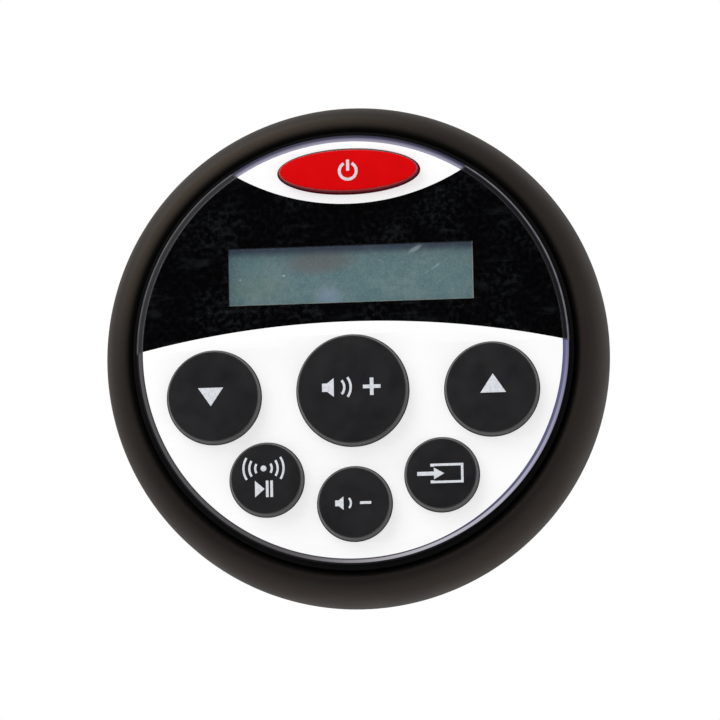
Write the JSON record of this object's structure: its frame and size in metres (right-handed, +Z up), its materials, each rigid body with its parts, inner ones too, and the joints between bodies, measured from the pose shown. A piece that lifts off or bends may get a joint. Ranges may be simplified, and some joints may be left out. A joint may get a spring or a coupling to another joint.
{
  "type": "marine stereo",
  "caption": "Round in-dash marine stereo with a small display, push keys, a through-panel body, a finned rear cover and a clamp bracket.",
  "frame": {"origin": "on the body's axis, in the plane where the gasket meets the panel", "axes": "+Z up, the face looks along -Y, +Y along the body's axis into the panel"},
  "size_m": [0.104, 0.0934, 0.104],
  "materials": {
    "ring_plastic": "soft matte, fine grain",
    "screw_steel": "zinc plated",
    "gasket_rubber": "matte foam rubber",
    "frame_plastic": "matte moulded",
    "trim_plastic": "glossy grey",
    "white_face": "glossy white print",
    "black_lens": "glossy black",
    "clear_pane": "clear",
    "display_glass": "grey-green, switched off",
    "white_plastic": "matte moulded",
    "guide_acrylic": "frosted",
    "strip_rubber": "matte",
    "lamp_resin": "clear resin",
    "red_key": "satin red",
    "black_key": "matte silicone",
    "plunger_plastic": "moulded",
    "mat_rubber": "matte silicone",
    "board_laminate": "green solder mask",
    "switch_plastic": "moulded",
    "body_plastic": "matte moulded",
    "sink_aluminium": "cast, satin",
    "spacer_brass": "turned",
    "header_plastic": "moulded",
    "can_steel": "tinned",
    "capacitor_sleeve": "shrink sleeve",
    "choke_winding": "enamelled wire",
    "chip_resin": "moulded",
    "gland_rubber": "matte",
    "stud_steel": "zinc plated",
    "bracket_steel": "zinc plated strip",
    "nut_brass": "knurled"
  },
  "bodies": {
    "unit": {"bezel_ring": "ring_plastic", "bezel_screws": "screw_steel", "panel_gasket": "gasket_rubber", "front_frame": "frame_plastic", "trim_ring": "trim_plastic", "fascia_plate": "white_face", "display_mask": "black_lens", "display_pane": "clear_pane", "lcd_glass": "display_glass", "lcd_frame": "white_plastic", "light_guide": "guide_acrylic", "contact_strips": "strip_rubber", "backlight_lamps": "lamp_resin", "keypad_mat": "mat_rubber", "control_board": "board_laminate", "tact_switches": "switch_plastic", "frame_screws": "screw_steel", "body_seal": "gasket_rubber", "rear_body": "body_plastic", "cover_seal": "gasket_rubber", "heat_sink": "sink_aluminium", "cover_screws": "screw_steel", "main_board": "board_laminate", "standoffs": "spacer_brass", "board_screws": "screw_steel", "board_header": "header_plastic", "tuner_can": "can_steel", "capacitors": "capacitor_sleeve", "choke": "choke_winding", "amplifier_chip": "chip_resin", "chip_clamp": "can_steel", "clamp_screws": "screw_steel", "harness_gland": "gland_rubber", "antenna_gland": "gland_rubber", "mounting_studs": "stud_steel"},
    "power": {"power_key": "red_key", "power_plunger": "plunger_plastic"},
    "volume_up": {"volume_up_key": "black_key", "volume_up_plunger": "plunger_plastic"},
    "volume_down": {"volume_down_key": "black_key", "volume_down_plunger": "plunger_plastic"},
    "seek_up": {"seek_up_key": "black_key", "seek_up_plunger": "plunger_plastic"},
    "seek_down": {"seek_down_key": "black_key", "seek_down_plunger": "plunger_plastic"},
    "band": {"band_key": "black_key", "band_plunger": "plunger_plastic"},
    "mode": {"mode_key": "black_key", "mode_plunger": "plunger_plastic"},
    "clamp": {"mounting_bracket": "bracket_steel", "flat_washers": "stud_steel", "spring_washers": "stud_steel", "clamp_nuts": "nut_brass"}
  },
  "joints": [
    {"name": "power_press", "type": "slide", "parent": "unit", "child": "power", "axis": [0, 1, 0], "range_m": [0, 0.0005], "stiffness_N_per_m": 2000, "springref_m": -0.0003},
    {"name": "volume_up_press", "type": "slide", "parent": "unit", "child": "volume_up", "axis": [0, 1, 0], "range_m": [0, 0.0005], "stiffness_N_per_m": 2000, "springref_m": -0.0003},
    {"name": "volume_down_press", "type": "slide", "parent": "unit", "child": "volume_down", "axis": [0, 1, 0], "range_m": [0, 0.0005], "stiffness_N_per_m": 2000, "springref_m": -0.0003},
    {"name": "seek_up_press", "type": "slide", "parent": "unit", "child": "seek_up", "axis": [0, 1, 0], "range_m": [0, 0.0005], "stiffness_N_per_m": 2000, "springref_m": -0.0003},
    {"name": "seek_down_press", "type": "slide", "parent": "unit", "child": "seek_down", "axis": [0, 1, 0], "range_m": [0, 0.0005], "stiffness_N_per_m": 2000, "springref_m": -0.0003},
    {"name": "band_press", "type": "slide", "parent": "unit", "child": "band", "axis": [0, 1, 0], "range_m": [0, 0.0005], "stiffness_N_per_m": 2000, "springref_m": -0.0003},
    {"name": "mode_press", "type": "slide", "parent": "unit", "child": "mode", "axis": [0, 1, 0], "range_m": [0, 0.0005], "stiffness_N_per_m": 2000, "springref_m": -0.0003},
    {"name": "bracket_slide", "type": "slide", "parent": "unit", "child": "clamp", "axis": [0, 1, 0], "range_m": [-0.007, 0.008]}
  ]
}
